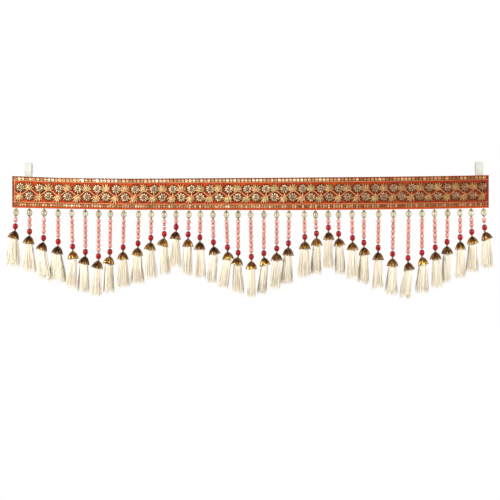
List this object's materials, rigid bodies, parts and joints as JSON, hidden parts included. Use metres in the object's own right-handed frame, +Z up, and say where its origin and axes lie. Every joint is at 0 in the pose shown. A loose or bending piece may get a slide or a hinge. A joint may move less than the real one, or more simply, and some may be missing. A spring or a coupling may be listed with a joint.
{
  "type": "toran door hanging",
  "caption": "Embroidered orange band that hangs over a doorway on tape loops, with a zigzag fringe of beaded strings ending in petal caps and yarn tassels.",
  "frame": {"origin": "middle of the band's top edge, on the band's back plane, where the wall or door frame behind it would hold it up", "axes": "+X along the band to the right as seen from the front, +Z up, the embroidered front faces -Y"},
  "size_m": [1.0224, 0.0295, 0.2845],
  "materials": {
    "band_cloth": "orange-red cloth",
    "gold_embroidery": "metallic thread, satin",
    "sequins": "gloss gold foil",
    "loop_tape": "woven off-white tape",
    "clear_beads": "clear champagne acrylic",
    "pink_beads": "translucent salmon acrylic",
    "red_beads": "gloss red",
    "petal_caps": "antique gold, dark in the grooves",
    "tassel_yarn": "ivory yarn"
  },
  "bodies": {
    "root": {"band": "band_cloth", "hanging_loop_left": "loop_tape", "hanging_loop_right": "loop_tape", "bead_fringe_left": "pink_beads", "bead_fringe_middle": "pink_beads", "bead_fringe_right": "pink_beads", "tassel_01": "tassel_yarn", "tassel_02": "tassel_yarn", "tassel_03": "tassel_yarn", "tassel_04": "tassel_yarn", "tassel_05": "tassel_yarn", "tassel_06": "tassel_yarn", "tassel_07": "tassel_yarn", "tassel_08": "tassel_yarn", "tassel_09": "tassel_yarn", "tassel_10": "tassel_yarn", "tassel_11": "tassel_yarn", "tassel_12": "tassel_yarn", "tassel_13": "tassel_yarn", "tassel_14": "tassel_yarn", "tassel_15": "tassel_yarn", "tassel_16": "tassel_yarn", "tassel_17": "tassel_yarn", "tassel_18": "tassel_yarn", "tassel_19": "tassel_yarn", "tassel_20": "tassel_yarn", "tassel_21": "tassel_yarn", "tassel_22": "tassel_yarn", "tassel_23": "tassel_yarn", "tassel_24": "tassel_yarn", "tassel_25": "tassel_yarn", "tassel_26": "tassel_yarn", "tassel_27": "tassel_yarn", "tassel_28": "tassel_yarn", "tassel_29": "tassel_yarn", "tassel_30": "tassel_yarn", "tassel_31": "tassel_yarn", "tassel_32": "tassel_yarn", "tassel_33": "tassel_yarn", "tassel_34": "tassel_yarn", "tassel_35": "tassel_yarn", "tassel_36": "tassel_yarn", "tassel_37": "tassel_yarn"}
  },
  "joints": []
}
